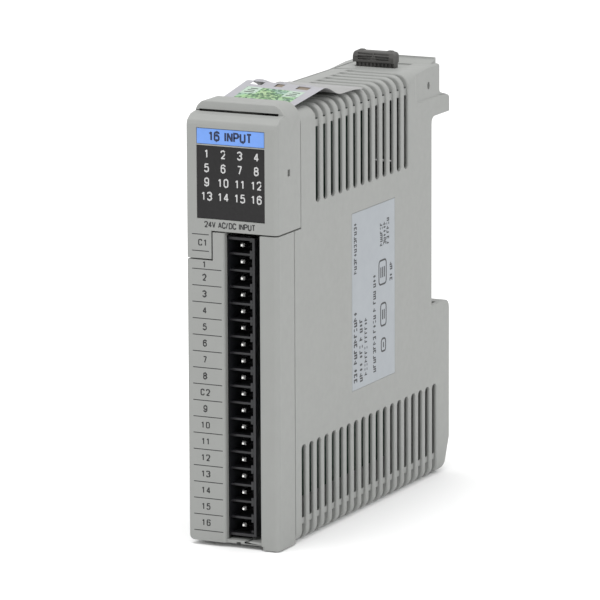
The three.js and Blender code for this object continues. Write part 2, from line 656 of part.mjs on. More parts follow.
// Socket for the backplane, with two rows of contact slots.
function backplaneConnector() {
  const face = NOTCH_WALL - 0.1;
  const { left, right, low, high, depth } = CONNECTOR;
  const body = block(left, right, face - depth, face, low, high);
  const slots = [];
  for (let index = 0; index < CONTACTS.count; index += 1) {
    const z = low + CONTACTS.start + index * CONTACTS.step;
    CONTACTS.rows.forEach((x) => {
      slots.push(block(x, x + CONTACTS.width, face - CONTACTS.depth, face + 1, z, z + CONTACTS.height));
    });
  }
  return cutAll(body, slots);
}

// ---------------------------------------------------------------- release latch

// Thumb tab with two horns on top, three grip grooves and an arrow in front.
function thumbTab() {
  const { left, right, front, rear, low, high } = LATCH;
  const side = [
    [front, low, 0.2], [rear, low, 0.2], [rear, high, 0.8], [front + 0.6, high, 0.6],
    [front, (low + high) / 2, 0.8],
  ];
  const face = [[left, low, 0.2], [right, low, 0.2], [right, high, 0.9], [left, high, 0.9]];
  const horn = [
    [front + 0.9, high - 0.3], [rear - 0.4, high - 0.3], [rear - 0.8, high + HORN.rise, 0.4],
    [front + 1.3, high + HORN.rise, 0.4],
  ];
  const hornFace = (x) => [
    [x, high - 0.3], [x + HORN.width, high - 0.3], [x + HORN.width - 0.5, high + HORN.rise, 0.5],
    [x + 0.5, high + HORN.rise, 0.5],
  ];
  const hornAt = (x) => alongX(horn, x, x + HORN.width, 3).intersect(alongY(hornFace(x), front, rear, 3));
  const hornPlaces = [left + HORN.inset, right - HORN.inset - HORN.width];
  const grooves = GRIP.drops.map((drop) => block(left + GRIP.inset, right - GRIP.inset,
    front - 1, front + GRIP.depth, high - drop - 0.2 - GRIP.width, high - drop - 0.2));
  const middle = (left + right) / 2;
  const arrow = alongY([[middle - 0.9, low + 0.6], [middle + 0.9, low + 0.6], [middle, high - 0.5]],
    front + 0.1, front + 1);
  const tab = hornPlaces.reduce((sum, x) => sum.add(hornAt(x)),
    alongX(side, left, right, 3).intersect(alongY(face, front - 1, rear + 1, 4)));
  return cutAll(tab, grooves).add(arrow);
}

// The ribbed stem goes down through the top of the case and carries an arm and a claw.
function latchStem() {
  const { left, right, front, rear } = STEM;
  const step = (right - left) / RIB_COUNT;
  const stem = block(left, right, front, rear, ARM.low, LATCH.low + 0.5);
  const arm = block(left + CLAW.inset, right - CLAW.inset, front, CLAW.rear, ARM.low, ARM.high);
  const claw = alongX([
    [CLAW.front, ARM.high - 0.5], [CLAW.front, CLAW.low + 1.4], [CLAW.rear - 0.5, CLAW.low],
    [CLAW.rear, CLAW.low + 0.2], [CLAW.rear, ARM.high - 0.5],
  ], left + CLAW.inset, right - CLAW.inset);
  const grooves = [];
  for (let index = 0; index < RIB_COUNT; index += 1) {
    const x = left + (index + 0.5) * step - RIB_GROOVE.width / 2;
    grooves.push(block(x, x + RIB_GROOVE.width, front - 1, front + RIB_GROOVE.depth, TOP - 3, LATCH.low));
  }
  return cutAll(stem.add(arm).add(claw), grooves);
}

function releaseLatch() {
  return thumbTab().add(latchStem());
}

// Small compression spring between the arm of the latch and the roof of the case.
function latchSpring() {
  const low = ARM.high + SPRING.gap;
  const high = TOP - WALL - SPRING.gap;
  const x = (STEM.left + STEM.right) / 2;
  const steps = 12 * SPRING.turns;
  const points = [];
  for (let step = 0; step <= steps; step += 1) {
    const angle = (2 * Math.PI * step) / 12;
    points.push(new THREE.Vector3(
      x + SPRING.radius * Math.cos(angle), SPRING.y + SPRING.radius * Math.sin(angle),
      low + ((high - low) * step) / steps,
    ));
  }
  const wire = new THREE.Shape();
  wire.absarc(0, 0, SPRING.wire, 0, 2 * Math.PI);
  const path = new THREE.CatmullRomCurve3(points);
  return toSolid(new THREE.ExtrudeGeometry(wire, { steps, curveSegments: 3, extrudePath: path }));
}

// ---------------------------------------------------------------- labels

function ratingLabel() {
  const outside = WIDTH - 0.03;
  return block(outside - LABEL.thickness, outside, LABEL.front, LABEL.rear, LABEL.low, LABEL.high);
}

// Paper label that starts behind the bezel, arches off the vent slots and settles again further back.
function topLabel() {
  const lower = TAG_PROFILE.map(([y, z, radius = 0]) => [y, z - TAG.thickness, radius]).reverse();
  const sheet = alongX([...TAG_PROFILE, ...lower], TAG.left, TAG.right, 3);
  const windows = TAG_HOLES.map(([x0, x1]) => block(x0, x1, TAG.holeFront, TAG.holeRear, 101, 104));
  return cutAll(sheet, windows);
}

// ---------------------------------------------------------------- assembly

place('main_housing', mainHousing(), casePlastic);
place('left_cover', leftCover(), casePlastic);
place('front_frame', frontFrame(), casePlastic);
place('bezel', bezel(), casePlastic);
place('legend_window', legendWindow(), windowFilm);
place('name_strip', nameStrip(), blueFilm);
place('terminal_header', terminalHeader(), headerPlastic);
place('light_baffle', lightBaffle(), baffleResin);
place('display_board', displayBoard(), board);
place('display_connector', displayConnector(), chipResin);
place('main_board', mainBoard(), board);
place('controller_chip', controllerChip(), chipResin);
place('filter_capacitor', filterCapacitor(), canMetal);
place('backplane_connector', backplaneConnector(), headerPlastic);
place('release_latch', releaseLatch(), latchPlastic);
place('latch_spring', latchSpring(), steel);
place('rating_label', ratingLabel(), labelFilm);
place('top_label', topLabel(), paper);

for (let index = 0; index < OPTO.count; index += 1) {
  place(`optocoupler_${index + 1}`, optocoupler(index), chipResin);
}

for (let index = 0; index < PIN_COUNT; index += 1) {
  const number = String(index + 1).padStart(2, '0');
  place(`terminal_pin_${number}`, terminalPin(index), tinned);
}

for (let index = 0; index < GRID * GRID; index += 1) {
  const number = String(index + 1).padStart(2, '0');
  place(`status_led_${number}`, statusLed(index), ledLens);
}

export default model;
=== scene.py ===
"""Looks of the slim 16 point input module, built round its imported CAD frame.

Detail is laid out in module coordinates, in millimetres: x from the left face, y from the front plane
and z from the underside. mm_point() turns those into the frame's metres.
"""

import math
import random

import bmesh
import bpy
from mathutils import Matrix, Vector


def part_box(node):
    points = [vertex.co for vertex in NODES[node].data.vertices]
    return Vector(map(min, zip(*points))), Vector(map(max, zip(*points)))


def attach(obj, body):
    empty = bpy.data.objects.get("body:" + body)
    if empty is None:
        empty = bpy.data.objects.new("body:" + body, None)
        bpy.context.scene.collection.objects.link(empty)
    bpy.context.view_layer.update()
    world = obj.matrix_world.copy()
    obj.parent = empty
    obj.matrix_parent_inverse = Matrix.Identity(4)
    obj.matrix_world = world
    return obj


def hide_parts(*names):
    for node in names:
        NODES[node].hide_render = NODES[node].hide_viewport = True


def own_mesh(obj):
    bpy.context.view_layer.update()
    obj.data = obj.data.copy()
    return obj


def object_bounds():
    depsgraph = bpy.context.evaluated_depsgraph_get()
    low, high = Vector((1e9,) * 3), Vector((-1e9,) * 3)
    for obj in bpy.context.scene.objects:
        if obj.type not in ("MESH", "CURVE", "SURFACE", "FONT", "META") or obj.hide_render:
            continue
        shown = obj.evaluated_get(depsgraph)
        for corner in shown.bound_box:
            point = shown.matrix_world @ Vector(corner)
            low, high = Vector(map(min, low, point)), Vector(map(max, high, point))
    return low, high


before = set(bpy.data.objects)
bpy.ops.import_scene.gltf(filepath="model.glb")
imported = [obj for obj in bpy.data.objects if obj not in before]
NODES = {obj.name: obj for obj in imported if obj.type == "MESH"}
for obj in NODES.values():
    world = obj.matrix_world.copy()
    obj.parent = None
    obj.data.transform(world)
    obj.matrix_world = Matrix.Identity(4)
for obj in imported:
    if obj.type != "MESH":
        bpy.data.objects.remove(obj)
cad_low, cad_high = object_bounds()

MM = 0.001
MODULE = "module"
LATCH = "latch"
SEED = 16


# ------------------------------------------------------------------ places and meshes

def mm_point(x, y, z):
    """A point in module millimetres as a point of the frame, in metres."""
    return Vector((cad_low.x + x * MM, cad_low.y + y * MM, cad_low.z + z * MM))


def mm_of(point):
    """A point of the frame, in metres, in module millimetres."""
    return (point - cad_low) / MM


class Sides:
    """The six sides of a CAD node's box, in module millimetres."""

    def __init__(self, node):
        low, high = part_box(node)
        self.left, self.front, self.low = mm_of(low)
        self.right, self.rear, self.high = mm_of(high)
        self.middle_x = (self.left + self.right) / 2
        self.middle_z = (self.low + self.high) / 2


CASE = Sides("main_housing")
FRAME = Sides("front_frame")
WIDTH = CASE.right
ROOF = Sides("left_cover").high


def add_piece(name, mesh, materials, body=MODULE):
    piece = bpy.data.objects.new(name, mesh)
    bpy.context.scene.collection.objects.link(piece)
    mesh.name = name
    mesh.materials.clear()
    for material in materials:
        mesh.materials.append(material)
    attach(piece, body)
    return piece


def mesh_of(form):
    mesh = bpy.data.meshes.new("mesh")
    form.to_mesh(mesh)
    form.free()
    return mesh


def finished_mesh(form):
    """The mesh of a closed form, with all its faces turned outwards."""
    bmesh.ops.recalc_face_normals(form, faces=form.faces)
    return mesh_of(form)


def smooth_by_angle(mesh, degrees=35.0):
    mesh.shade_smooth()
    mesh.set_sharp_from_angle(angle=math.radians(degrees))


def paint(node, material):
    """Gives a CAD node that is shown as it is its own material."""
    mesh = NODES[node].data
    mesh.materials.clear()
    mesh.materials.append(material)


# ------------------------------------------------------------------ camera

CAMERA_PLACE = Vector((0.5377, -1.1187, 0.2981))
CAMERA_YAW = math.radians(25.911)
CAMERA_PITCH = math.radians(11.357)
CAMERA_ROLL = math.radians(0.258)
CAMERA_LENS = 326.2
CAMERA_SENSOR = 36.0
CAMERA_NEAREST = 0.05
CAMERA_FARTHEST = 20.0


def make_camera():
    data = bpy.data.cameras.new("camera")
    data.lens = CAMERA_LENS
    data.sensor_width = CAMERA_SENSOR
    data.clip_start = CAMERA_NEAREST
    data.clip_end = CAMERA_FARTHEST
    camera = bpy.data.objects.new("camera", data)
    turn = (
        Matrix.Rotation(CAMERA_YAW, 4, "Z")
        @ Matrix.Rotation(math.pi / 2 - CAMERA_PITCH, 4, "X")
        @ Matrix.Rotation(-CAMERA_ROLL, 4, "Z")
    )
    camera.matrix_world = Matrix.Translation(CAMERA_PLACE) @ turn
    bpy.context.scene.collection.objects.link(camera)
    bpy.context.scene.camera = camera


# ------------------------------------------------------------------ material helpers

# Noise mostly lies between these two values.
NOISE_LOW = 0.3
NOISE_HIGH = 0.7


def shader_of(material):
    return material.node_tree.nodes["Principled BSDF"]


def add_node(material, kind, **settings):
    node = material.node_tree.nodes.new(kind)
    for setting, value in settings.items():
        setattr(node, setting, value)
    return node


def link(material, output, socket):
    material.node_tree.links.new(output, socket)


def object_place(material):
    return add_node(material, "ShaderNodeTexCoord").outputs["Object"]


def noise(material, scale, detail=3.0):
    """Noise over the object's own coordinates. Scale is in cells per metre."""
    cloud = add_node(material, "ShaderNodeTexNoise")
    cloud.inputs["Scale"].default_value = scale
    cloud.inputs["Detail"].default_value = detail
    link(material, object_place(material), cloud.inputs["Vector"])
    return cloud.outputs["Fac"]


def ramp(material, value, stops, interpolation="LINEAR"):
    """A colour ramp over value, with stops of (position, colour)."""
    node = add_node(material, "ShaderNodeValToRGB")
    node.color_ramp.interpolation = interpolation
    elements = node.color_ramp.elements
    while len(elements) < len(stops):
        elements.new(0.5)
    for element, (position, colour) in zip(elements, stops):
        element.position = position
        element.color = (*colour, 1.0)
    link(material, value, node.inputs["Fac"])
    return node.outputs["Color"]


def mottled(material, scale, low, high):
    """Noise that runs from one colour to another."""
    return ramp(material, noise(material, scale), [(NOISE_LOW, low), (NOISE_HIGH, high)])


def map_range(material, value, start, end, low=0.0, high=1.0):
    """Maps a value from start..end to low..high."""
    node = add_node(material, "ShaderNodeMapRange")
    node.inputs["From Min"].default_value = start
    node.inputs["From Max"].default_value = end
    node.inputs["To Min"].default_value = low
    node.inputs["To Max"].default_value = high
    link(material, value, node.inputs["Value"])
    return node.outputs["Result"]


def band(material, value, low, high):
    """1 where value, in metres, lies between low and high, else 0."""
    above = add_node(material, "ShaderNodeMath", operation="GREATER_THAN")
    below = add_node(material, "ShaderNodeMath", operation="LESS_THAN")
    above.inputs[1].default_value = low
    below.inputs[1].default_value = high
    link(material, value, above.inputs[0])
    link(material, value, below.inputs[0])
    return product(material, above.outputs[0], below.outputs[0])


def product(material, first, second):
    node = add_node(material, "ShaderNodeMath", operation="MULTIPLY")
    link(material, first, node.inputs[0])
    link(material, second, node.inputs[1])
    return node.outputs[0]


def mix(material, factor, first, second):
    node = add_node(material, "ShaderNodeMix", data_type="RGBA")
    link(material, factor, node.inputs["Factor"])
    link(material, first, node.inputs["A"])
    link(material, second, node.inputs["B"])
    return node.outputs["Result"]


def tone(colour, factor):
    return tuple(channel * factor for channel in colour)


def mottled_tone(material, scale, colour, variation):
    """A colour that varies by a share of itself to either side."""
    return mottled(material, scale, tone(colour, 1 - variation), tone(colour, 1 + variation))


# ------------------------------------------------------------------ materials

GLOSS_VARIATION = 0.05
GLOSS_FINENESS = 3
GRAIN_DETAIL = 2.0
GRAIN_STRENGTH = 0.5


def surface(
    name, colour, roughness, variation=0.04, mottle=260.0,
    grain=3200.0, grain_depth=0.02, metal=0.0,
):
    """A moulded or printed surface: faint mottling, uneven gloss and a fine grain."""
    material = bpy.data.materials.new(name)
    material.use_nodes = True
    shader = shader_of(material)
    shader.inputs["Metallic"].default_value = metal
    link(material, mottled_tone(material, mottle, colour, variation), shader.inputs["Base Color"])
    uneven = noise(material, mottle * GLOSS_FINENESS)
    smoothest = roughness - GLOSS_VARIATION
    roughest = roughness + GLOSS_VARIATION
    gloss = map_range(material, uneven, NOISE_LOW, NOISE_HIGH, smoothest, roughest)
    link(material, gloss, shader.inputs["Roughness"])
    bump = add_node(material, "ShaderNodeBump")
    bump.inputs["Strength"].default_value = GRAIN_STRENGTH
    bump.inputs["Distance"].default_value = grain_depth * MM
    link(material, noise(material, grain, GRAIN_DETAIL), bump.inputs["Height"])
    link(material, bump.outputs["Normal"], shader.inputs["Normal"])
    return material


def film(name, colour, roughness, variation, mottle):
    return surface(name, colour, roughness, variation, mottle, grain=6000.0, grain_depth=0.006)


def ink(name, colour, roughness=0.5, variation=0.2):
    return surface(name, colour, roughness, variation, mottle=2500.0, grain=9000.0, grain_depth=0.003)


CASE_PLASTIC = surface("case_plastic", (0.268, 0.274, 0.264), 0.55, 0.014, 200.0, 3600.0, 0.012)
LATCH_PLASTIC = surface("latch_plastic", (0.056, 0.054, 0.051), 0.5, 0.07)
HEADER_PLASTIC = surface("header_plastic", (0.012, 0.0125, 0.0145), 0.34, 0.12, grain_depth=0.01)
WINDOW_FILM = film("window_film", (0.0095, 0.009, 0.0095), 0.5, 0.16, 1100.0)
NAME_FILM = film("name_film", (0.14, 0.29, 0.70), 0.45, 0.04, 500.0)
RATING_FILM = surface("rating_film", (0.29, 0.312, 0.335), 0.42, 0.02, 120.0, 2500.0, 0.008)
# The label's underside: a brown paper tone, darkened with painted shade of the hollow under the lifted
# sheet.
LABEL_BACK_AND_SHADE = surface("label_back_and_shade", (0.20, 0.165, 0.13), 0.7, 0.08, 500.0)
LABEL_PANEL = surface("label_panel", (0.36, 0.46, 0.38), 0.5, 0.06, 900.0)
BOARD = surface("solder_mask", (0.008, 0.03, 0.018), 0.5, 0.1, 300.0)
CHIP = surface("chip_resin", (0.014, 0.014, 0.015), 0.6, 0.12)
BAFFLE = surface("white_resin", (0.72, 0.72, 0.69), 0.55)
LED_LENS = surface("led_lens", (0.45, 0.62, 0.40), 0.2, 0.08, 900.0)
SPRING_STEEL = surface("spring_steel", (0.55, 0.56, 0.58), 0.3, 0.06, 900.0, metal=1.0)
CAN = surface("can_aluminium", (0.60, 0.61, 0.62), 0.3, 0.06, 400.0, metal=1.0)
DARK_INK = ink("dark_ink", (0.012, 0.012, 0.013))
RATING_INK = ink("rating_ink", (0.008, 0.0085, 0.010))
BLUE_INK = ink("blue_ink", (0.004, 0.012, 0.05), roughness=0.45)
WHITE_INK = ink("white_ink", (0.50, 0.50, 0.50), variation=0.05)

WINDOW_SPECULAR = 0.32
shader_of(WINDOW_FILM).inputs["Specular IOR Level"].default_value = WINDOW_SPECULAR

PIN_TIP_LENGTH = 0.45
PIN_FADE = 0.3
PIN_MOTTLE = 700.0
# Painted shade: the near black that stands for the shade deep in a pin's cell.
PIN_SHADE_LOW = (0.020, 0.020, 0.022)
PIN_SHADE_HIGH = (0.035, 0.035, 0.037)


def pin_metal():
    """Bright tin plate at the very tip of a pin, with painted shade that turns it near black in the depth
    of its cell.
    """
    material = surface("pin_metal", (0.90, 0.90, 0.88), 0.25, 0.04, 900.0, metal=0.6)
    shader = shader_of(material)
    bright = shader.inputs["Base Color"].links[0].from_socket
    axes = add_node(material, "ShaderNodeSeparateXYZ")
    link(material, object_place(material), axes.inputs[0])
    tip = Sides("terminal_pin_01").front
    start = mm_point(0, tip + PIN_TIP_LENGTH, 0).y
    depth = map_range(material, axes.outputs["Y"], start, start + PIN_FADE * MM)
    # Painted shade, mixed in behind the tip.
    painted_shade = mottled(material, PIN_MOTTLE, PIN_SHADE_LOW, PIN_SHADE_HIGH)
    link(material, mix(material, depth, bright, painted_shade), shader.inputs["Base Color"])
    return material


PIN_METAL = pin_metal()

PAPER_TONE = (0.325, 0.323, 0.348)
PAPER_MOTTLE = 160.0
REAR_PAPER = (0.272, 0.272, 0.270)
REAR_PAPER_VARIATION = 0.04
TONE_CHANGE = (26.0, 32.0)
PRINT_AREA = {"left": 4.2, "right": 18.6, "front": 12.0, "rear": 22.9}
CELL = 0.55
CELL_TONES = [(0.0, (0.05, 0.11, 0.07)), (0.35, (0.17, 0.27, 0.18)), (0.62, (0.33, 0.43, 0.32))]
CELL_TINTS = [(0.38, (0.72, 0.85, 0.92)), (0.49, (0.70, 0.98, 0.60)), (0.62, (0.86, 0.95, 0.62))]
TINT_SCALE = 260.0
TINT_SHARE = 0.85


def printed_cells(material):
    """Small cells in loose greens and greys."""
    cells = add_node(material, "ShaderNodeTexVoronoi")
    cells.inputs["Scale"].default_value = 1 / (CELL * MM)
    link(material, object_place(material), cells.inputs["Vector"])
    split = add_node(material, "ShaderNodeSeparateColor")
    link(material, cells.outputs["Color"], split.inputs[0])
    wash = add_node(material, "ShaderNodeMix", data_type="RGBA", blend_type="MULTIPLY")
    wash.inputs["Factor"].default_value = TINT_SHARE
    link(material, ramp(material, split.outputs["Red"], CELL_TONES, "CONSTANT"), wash.inputs["A"])
    link(material, ramp(material, noise(material, TINT_SCALE), CELL_TINTS), wash.inputs["B"])
    return wash.outputs["Result"]


def printed_paper():
    """Coated paper, greyer to the rear, with a patch of cells printed on it."""
    material = surface("label_paper", PAPER_TONE, 0.5, 0.03, PAPER_MOTTLE, 2500.0, 0.01)
    shader = shader_of(material)
    paper = shader.inputs["Base Color"].links[0].from_socket
    axes = add_node(material, "ShaderNodeSeparateXYZ")
    link(material, object_place(material), axes.inputs[0])
    low = mm_point(PRINT_AREA["left"], PRINT_AREA["front"], 0)
    high = mm_point(PRINT_AREA["right"], PRINT_AREA["rear"], 0)
    across = band(material, axes.outputs["X"], low.x, high.x)
    along = band(material, axes.outputs["Y"], low.y, high.y)
    start, end = [mm_point(0, y, 0).y for y in TONE_CHANGE]
    behind = map_range(material, axes.outputs["Y"], start, end)
    rear = mottled_tone(material, PAPER_MOTTLE, REAR_PAPER, REAR_PAPER_VARIATION)
    paper = mix(material, behind, paper, rear)
    colour = mix(material, product(material, across, along), paper, printed_cells(material))
    link(material, colour, shader.inputs["Base Color"])
    return material


LABEL_PAPER = printed_paper()


# ------------------------------------------------------------------ case shells

SLOT_FIRST_Y = 12.0
SLOT_PITCH = 3.97
SLOT_WIDTH = 2.4
SLOT_COUNT = 19
SLOT_SLACK = 0.1

# The two bands of slots: lowest z, highest z, front y and rear y.
SLOT_BANDS = [(0.0, 22.8, 11.9, 86.0), (76.9, 101.0, 19.8, 70.2)]

# Radii of the eased edges.
WIDEST = 0.6
SLOT_REAR_ROUND = 0.5
SLOT_FRONT_ROUND = 0.15
STRIP_ROUND = 0.6
EASED = 0.14
LATCH_EASED = 0.08
EASED_SEGMENTS = 3

# The strip's right edge, and how near to it an edge has to lie to be part of it.
STRIP_RIGHT = 9.3
CLOSE = 0.02

# Which edges are eased: outward ones that are sharp enough and not shorter than this.
SHARP_ANGLE = math.radians(40)
SHORTEST = 0.04

# The floor of a bridge across a slot lies this deep or deeper.
SUNKEN = 0.45

# Where flat faces are cut apart: at two distances behind the front of each slot, one in the slot
# and one in the fin behind it, and at single places on x or y.
SLOT_CUTS = (0.95, 3.185)
HOUSING_CUTS_X = [9.6]
FRAME_CUTS_X = [4.8, 13.8, 20.4]
BEZEL_CUTS_X = [11.0]
BEZEL_CUTS_Y = [6.1]
LATCH_CUTS_X = [11.0]

# Limits, in metres and as an angle, within which points and faces count as one.
SAME_POINT = 1e-6
SAME_PLACE = 1e-5
SAME_PLANE = math.radians(0.4)

# How squarely a face has to look along an axis to count as facing it, and how little is still a lean.
FACING = 0.9
LEANING = 0.2


def cut_across(form, axis, places):
    """Cuts the form by planes, so that no flat face keeps a hole in it once its triangles are merged."""
    normal = Vector([float(index == axis) for index in range(3)])
    for place in places:
        point = mm_point(place, place, place)
        everything = form.verts[:] + form.edges[:] + form.faces[:]
        cut = bmesh.ops.bisect_plane(
            form, geom=everything, dist=SAME_PLACE, plane_co=point, plane_no=normal,
        )
        for item in cut["geom_cut"]:
            if isinstance(item, bmesh.types.BMEdge):
                item.seam = True


def clean_form(node, xs=(), ys=()):
    """The CAD node's own shape with its flat faces merged between cuts at xs and ys."""
    form = bmesh.new()
    form.from_mesh(NODES[node].data)
    bmesh.ops.remove_doubles(form, verts=form.verts, dist=SAME_POINT)
    cut_across(form, 0, xs)
    cut_across(form, 1, ys)
    bmesh.ops.dissolve_limit(
        form, angle_limit=SAME_PLANE, verts=form.verts, edges=form.edges,
        use_dissolve_boundaries=False, delimit={"SEAM"},
    )
    return form


def is_outer(face):
    """True for a face on the outer skin of the case, not on a wall between outside and inside."""
    centre = mm_of(face.calc_center_median())
    side = face.normal.x * (1 if centre.x > WIDTH / 2 else -1)
    end = face.normal.z * (1 if centre.z > ROOF / 2 else -1)
    return abs(face.normal.y) < FACING and (side > LEANING or end > LEANING)


def is_sunken(face):
    """True for the floor of a low bridge across a slot."""
    return face.normal.x > FACING and mm_of(face.calc_center_median()).x < WIDTH - SUNKEN


def slot_rounding(edge):
    """Radius of an outer edge of a vent slot: small at the slot's front, large at its rear."""
    if any(is_sunken(face) for face in edge.link_faces):
        return 0.0
    place = mm_of((edge.verts[0].co + edge.verts[1].co) / 2)
    past = (place.y - SLOT_FIRST_Y + SLOT_SLACK) % SLOT_PITCH - SLOT_SLACK
    in_band = any(
        low < place.z < high and front < place.y < rear
        for low, high, front, rear in SLOT_BANDS
    )
    outer = [is_outer(face) for face in edge.link_faces]
    if not in_band or past > SLOT_WIDTH + SLOT_SLACK / 2 or sum(outer) != 1:
        return EASED
    return max(SLOT_FRONT_ROUND, SLOT_REAR_ROUND * past / SLOT_WIDTH)


def strip_rounding(edge):
    """Radius of an edge of the front frame: large where the strip turns into the header opening."""
    places = [mm_of(vert.co) for vert in edge.verts]
    at_corner = all(abs(place.x - STRIP_RIGHT) < CLOSE and abs(place.y) < CLOSE for place in places)
    return STRIP_ROUND if at_corner else EASED


def even_rounding(radius):
    """The same radius for every edge."""
    return lambda edge: radius


def mark_edges(form, rounding):
    """Stores the radius of each sharp outward edge, as a share of the widest one."""
    weight = form.edges.layers.float.new("bevel_weight_edge")
    for edge in form.edges:
        if not edge.is_convex or edge.calc_length() < SHORTEST * MM:
            continue
        if edge.calc_face_angle() > SHARP_ANGLE:
            edge[weight] = rounding(edge) / WIDEST


def shell(name, node, form, rounding, material, body=MODULE):
    """Shows a CAD node as its own shape with eased edges."""
    mark_edges(form, rounding)
    mesh = mesh_of(form)
    piece = add_piece(name, mesh, [material], body)
    smooth_by_angle(mesh)
    bevel = piece.modifiers.new("eased_edges", "BEVEL")
    bevel.width = WIDEST * MM
    bevel.segments = EASED_SEGMENTS
    bevel.limit_method = "WEIGHT"
    bevel.use_clamp_overlap = False
    bevel.miter_outer = "MITER_ARC"
    shading = piece.modifiers.new("even_shading", "WEIGHTED_NORMAL")
    shading.keep_sharp = True
    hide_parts(node)


def vented_shell(name, node, xs=()):
    """A shell that is cut in each slot and in each fin, and once in front of the first slot."""
    fronts = [SLOT_FIRST_Y + index * SLOT_PITCH for index in range(-1, SLOT_COUNT)]
    ys = [front + cut for front in fronts for cut in SLOT_CUTS]
    shell(name, node, clean_form(node, xs, ys[1:]), slot_rounding, CASE_PLASTIC)


def make_shells():
    vented_shell("housing_shell", "main_housing", HOUSING_CUTS_X)
    vented_shell("cover_shell", "left_cover")
    front = clean_form("front_frame", FRAME_CUTS_X)
    shell("front_shell", "front_frame", front, strip_rounding, CASE_PLASTIC)
    top = clean_form("bezel", BEZEL_CUTS_X, BEZEL_CUTS_Y)
    shell("bezel_shell", "bezel", top, even_rounding(EASED), CASE_PLASTIC)
    latch = clean_form("release_latch", LATCH_CUTS_X)
    eased = even_rounding(LATCH_EASED)
    shell("latch_shell", "release_latch", latch, eased, LATCH_PLASTIC, LATCH)


# ------------------------------------------------------------------ lettering

# How far print stands out of its surface. Strokes that cross differ by a step.
INK = 0.012
INK_STEP = 0.0015
INK_STEPS = 4

LETTER_WIDTH = 0.46
LETTER_GAP = 0.24
CORNER_REACH = 0.5
CORNER_STEPS = 4
TIGHTEST_TURN = 0.5
CLOSED_WITHIN = 1e-6
ROUND = 1

# Each glyph is a list of strokes through (across, up) points, from 0 to 1.
# A third value marks a rounded corner.
GLYPHS = {
    "0": [[(0, 0.5), (0, 1, ROUND), (1, 1, ROUND), (1, 0, ROUND), (0, 0, ROUND), (0, 0.5)]],
    "1": [[(0.05, 0.76), (0.62, 0.97)], [(0.62, 0), (0.62, 1)]],
    "2": [[(0, 0.74), (0, 1, ROUND), (1, 1, ROUND), (1, 0.52, ROUND), (0.04, 0)], [(-0.04, 0), (1, 0)]],
    "3": [[(0, 0.8), (0, 1, ROUND), (1, 1, ROUND), (1, 0.53, ROUND), (0.4, 0.53)],
          [(0.4, 0.53), (1, 0.53, ROUND), (1, 0, ROUND), (0, 0, ROUND), (0, 0.22)]],
    "4": [[(0.74, 0), (0.74, 1)], [(0.74, 0.98), (0, 0.3)], [(-0.05, 0.27), (1.1, 0.27)]],
    "5": [[(0.98, 1), (0.1, 1)], [(0.12, 1), (0.06, 0.5)],
          [(0.06, 0.52), (0.3, 0.64), (1, 0.64, ROUND), (1, 0, ROUND), (0, 0, ROUND), (0, 0.2)]],
    "6": [[(0, 0.4), (0, 0.62, ROUND), (1, 0.62, ROUND), (1, 0, ROUND), (0, 0, ROUND), (0, 0.4)],
          [(0, 0.35), (0, 1, ROUND), (1, 1, ROUND), (1, 0.8)]],
    "7": [[(0, 1), (1, 1)], [(0.96, 0.99), (0.35, 0)]],
    "8": [[(0, 0.3), (0, 0.54, ROUND), (1, 0.54, ROUND), (1, 0, ROUND), (0, 0, ROUND), (0, 0.3)],
          [(0.06, 0.8), (0.06, 1, ROUND), (0.94, 1, ROUND), (0.94, 0.54, ROUND), (0.06, 0.54, ROUND),
           (0.06, 0.8)]],
    "9": [[(1, 0.6), (1, 0.38, ROUND), (0, 0.38, ROUND), (0, 1, ROUND), (1, 1, ROUND), (1, 0.6)],
          [(1, 0.65), (1, 0, ROUND), (0, 0, ROUND), (0, 0.2)]],
    "A": [[(0, 0), (0.47, 1)], [(0.53, 1), (1, 0)], [(0.17, 0.32), (0.83, 0.32)]],
    "C": [[(1, 0.72), (1, 1, ROUND), (0, 1, ROUND), (0, 0, ROUND), (1, 0, ROUND), (1, 0.28)]],
    "D": [[(0, 0.5), (0, 1), (1, 1, ROUND), (1, 0, ROUND), (0, 0), (0, 0.5)]],
    "I": [[(0.5, 0), (0.5, 1)]],
    "N": [[(0, 0), (0, 1)], [(0.06, 0.97), (0.94, 0.03)], [(1, 0), (1, 1)]],
    "P": [[(0, 0), (0, 1), (1, 1, ROUND), (1, 0.46, ROUND), (0, 0.46)]],
    "T": [[(0.5, 0), (0.5, 1)], [(0, 1), (1, 1)]],
    "U": [[(0, 1), (0, 0, ROUND), (1, 0, ROUND), (1, 1)]],
    "V": [[(0, 1), (0.47, 0)], [(0.53, 0), (1, 1)]],
    "/": [[(0, 0), (0.7, 1)]],
}
NARROW = {"1": 0.72, "I": 0.1, " ": 0.45, "/": 0.7}

# Letter-like marks that spell nothing, for the small print.
MARKS = [
    [[(0, 0), (0, 1), (1, 1)]],
    [[(0, 1), (0, 0), (1, 0), (1, 1)]],
    [[(0, 0), (1, 0), (1, 1), (0, 1)]],
    [[(0, 0.5), (1, 0.5)], [(0.5, 0), (0.5, 1)]],
    [[(0, 0), (1, 0)], [(0, 1), (1, 1)]],
    [[(0, 0), (0, 1), (1, 0.5)]],
]


def ink_depth(count):
    """How far the stroke with this number stands out."""
    return INK + INK_STEP * (count % INK_STEPS)


def rounded_path(corners, reach):
    """A path through corners that turns gently at the marked ones."""
    path = []
    for index, (u, v, *mark) in enumerate(corners):
        here = Vector((u, v))
        if not mark:
            path.append(here)
            continue
        before = Vector(corners[index - 1][:2]) - here
        after = Vector(corners[index + 1][:2]) - here
        start = here + before.normalized() * min(reach, before.length / 2)
        end = here + after.normalized() * min(reach, after.length / 2)
        for step in range(CORNER_STEPS + 1):
            share = step / CORNER_STEPS
            path.append(start.lerp(here, share).lerp(here.lerp(end, share), share))
    return path


